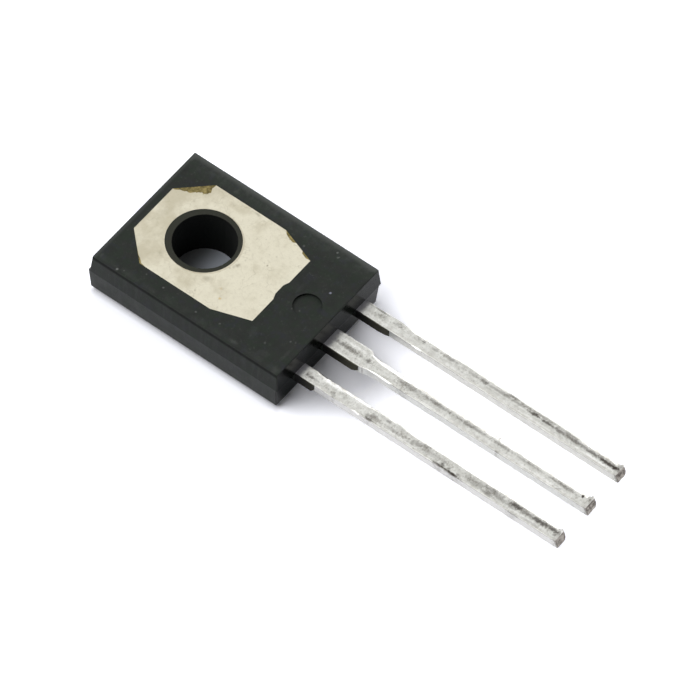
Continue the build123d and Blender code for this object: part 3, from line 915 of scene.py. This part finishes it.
# Painted shade: a dark band under the top edge of the side walls, and on the end wall's -X part.
painted_shade_under_edge = times(range_mask(z, 2.44, 2.6), less(wall, end_wall, clamp=True))
shadow_side = times(end_wall, inverted(range_mask(x, -1.5, 3.4)))
darker = larger(times(painted_shade_under_edge, 0.8), shadow_side)
colour = blend(times(darker, 0.8), colour, (0.002, 0.0023, 0.002, 1))
flash = range_mask(y, -7.41, -7.44)
flash_tint = blend(range_mask(y, -7.5, -9.4), (0.003, 0.003, 0.003, 1), (0.05, 0.048, 0.034, 1))
colour = blend(flash, colour, flash_tint)
face_rough = plus(0.52, times(surface["Mottle"], 0.08))
rough = less(face_rough, times(wall, 0.14))
rough = less(rough, times(end_wall, 0.25))
rough = plus(rough, times(larger(painted_shade_in_bore, painted_shade_under_edge, times(flash, 0.5)), 0.42))
feed(shader, colour, rough, 0.0, surface["Height"], strength=0.35, depth=0.00001)
shader.inputs["Specular IOR Level"].default_value = 0.15
coat(nodes["moulded_body"], epoxy)

# --- Table, light and camera ----------------------------------------------------------------
# A white table under three soft lights: one beyond the head end, and a wide one and a low one
# on the right. With the sky they light a level surface at about its own colour. Shadow is painted
# on the table under the hole, between the leads and along the housing, and shade in its mirror
# images.

floor_points = np.array([(-400, -400, 0), (400, -400, 0), (400, 400, 0), (-400, 400, 0)], float)
floor = new_piece("table_top", floor_points, [(0, 1, 2, 3)])
white, shader, position, _ = new_material("white_table")
tree = white.node_tree
tree.nodes.remove(shader)
path = tree.nodes.new("ShaderNodeLightPath").outputs
mirrored_rays = larger(path["Is Glossy Ray"], path["Is Transmission Ray"])
x, y, _ = parts(position)
# Painted shadow on the table under the mounting hole, darkest towards +Y.
painted_shadow_under_hole = inverted(range_mask(axis_distance(position), 2.0, 3.0))
# Painted shadow: the camera's extra white is held back between the leads and along the housing's
# walls, less so between collector and emitter.
root_offset = vector_calc("SUBTRACT", position, (0.3, -7.4, 0))[0]
from_roots = vector_calc("LENGTH", vector_calc("DIVIDE", root_offset, (4.2, 4.5, 1))[0])["Value"]
painted_shadow_by_leads = inverted(range_mask(from_roots, 0.45, 1.0))
lit_gap = band(x, 0.6, 1.8, 2.2, 2.8)
painted_shadow_by_leads = times(painted_shadow_by_leads, inverted(times(lit_gap, 0.42)))
beside_x = less(magnitude(plus(x, 0.08)), 3.92)
beside_y = less(magnitude(plus(y, 1.875)), 5.525)
painted_shadow_by_walls = inverted(range_mask(larger(beside_x, beside_y), -0.25, 0.18))
painted_shadow = larger(painted_shadow_under_hole, painted_shadow_by_leads, painted_shadow_by_walls)
painted_hole_shadow_colour = blend(range_mask(y, -0.3, 1.1), (0.42, 0.45, 0.5, 1), (0.13, 0.135, 0.14, 1))
# Painted shade in mirrors: the table is darker in front of the end wall, and has no glow there.
painted_shade_in_reflections = times(mirrored_rays, range_mask(y, -9.3, -8.7), range_mask(x, -3.45, -2.95))
painted_shade_in_reflections = times(painted_shade_in_reflections, inverted(range_mask(x, 0.4, 4.0)))
floor_with_reflected_shade = blend(painted_shade_in_reflections, (0.91, 0.915, 0.965, 1), (0.42, 0.44, 0.47, 1))
table_colour = place("ShaderNodeBsdfDiffuse", {"Color": blend(painted_shadow_under_hole, floor_with_reflected_shade, painted_hole_shadow_colour)})
extra = times(path["Is Camera Ray"], inverted(painted_shadow))
extra_white = place(
    "ShaderNodeBsdfDiffuse", {"Color": blend(extra, (0, 0, 0, 1), (0.58, 0.59, 0.63, 1))}
)
glow = place("ShaderNodeEmission", {
    "Color": (1, 1, 1, 1), "Strength": times(less(mirrored_rays, painted_shade_in_reflections), 0.1)
})
both = place("ShaderNodeAddShader", {0: table_colour.outputs[0], 1: extra_white.outputs[0]})
both = place("ShaderNodeAddShader", {0: both.outputs[0], 1: glow.outputs[0]})
output = next(node for node in tree.nodes if node.type == "OUTPUT_MATERIAL")
tree.links.new(both.outputs[0], output.inputs[0])
coat(floor, white)

world = bpy.data.worlds.new("soft_sky")
bpy.context.scene.world = world
world.use_nodes = True
tree = world.node_tree
tree.nodes.clear()
path = tree.nodes.new("ShaderNodeLightPath").outputs
seen = larger(path["Is Camera Ray"], path["Is Glossy Ray"], path["Is Transmission Ray"])
sky = place(
    "ShaderNodeBackground", {"Color": (1, 1, 1, 1), "Strength": plus(0.08, times(seen, 0.92))}
)
tree.links.new(sky.outputs[0], tree.nodes.new("ShaderNodeOutputWorld").inputs[0])


def soft_light(name, toward, level, spread):
    """A distant soft lamp. Level is the share of a level white surface's brightness it gives."""
    direction = np.array(toward, float) / np.linalg.norm(toward)
    lamp = bpy.data.lights.new(name, "SUN")
    lamp.energy = math.pi * level / direction[2]
    lamp.angle = math.radians(spread)
    light = bpy.data.objects.new(name, lamp)
    bpy.context.scene.collection.objects.link(light)
    turn = Vector(direction).to_track_quat("Z", "Y")
    light.rotation_euler = turn.to_euler()
    return light


soft_light("window_beyond_the_head", (-0.447, 0.462, 0.766), 0.56, 60)
wide_window = soft_light("window_on_the_right", (0.648, 0.103, 0.755), 0.31, 84)
wide_window.visible_glossy = False  # in mirrors the white sky already stands for it
soft_light("low_window_on_the_right", (0.92, 0.24, 0.31), 0.05, 34)

camera_data = bpy.data.cameras.new("camera")
camera = bpy.data.objects.new("camera", camera_data)
bpy.context.scene.collection.objects.link(camera)
bpy.context.scene.camera = camera
AZIMUTH, ELEVATION, ROLL = (math.radians(a) for a in (-53.56, 54.95, 1.677))
CAMERA_DISTANCE = 0.41420
AIM = np.array((0.00018, -0.00840, 0.0012))
level_right = np.array((math.cos(AZIMUTH), math.sin(AZIMUTH), 0.0))
level_back = np.array((math.sin(AZIMUTH), -math.cos(AZIMUTH), 0.0))
back = level_back * math.cos(ELEVATION) + np.array((0.0, 0.0, math.sin(ELEVATION)))
level_up = np.cross(back, level_right)
right = math.cos(ROLL) * level_right + math.sin(ROLL) * level_up
up = -math.sin(ROLL) * level_right + math.cos(ROLL) * level_up
pose = np.eye(4)
pose[:3, 0], pose[:3, 1], pose[:3, 2], pose[:3, 3] = right, up, back, AIM + back * CAMERA_DISTANCE
camera.matrix_world = Matrix(pose.tolist())
camera_data.sensor_width = 36
camera_data.lens = 36 * 12.8237
camera_data.clip_start = 0.01
camera_data.clip_end = 10
bpy.context.scene.view_settings.view_transform = "Standard"
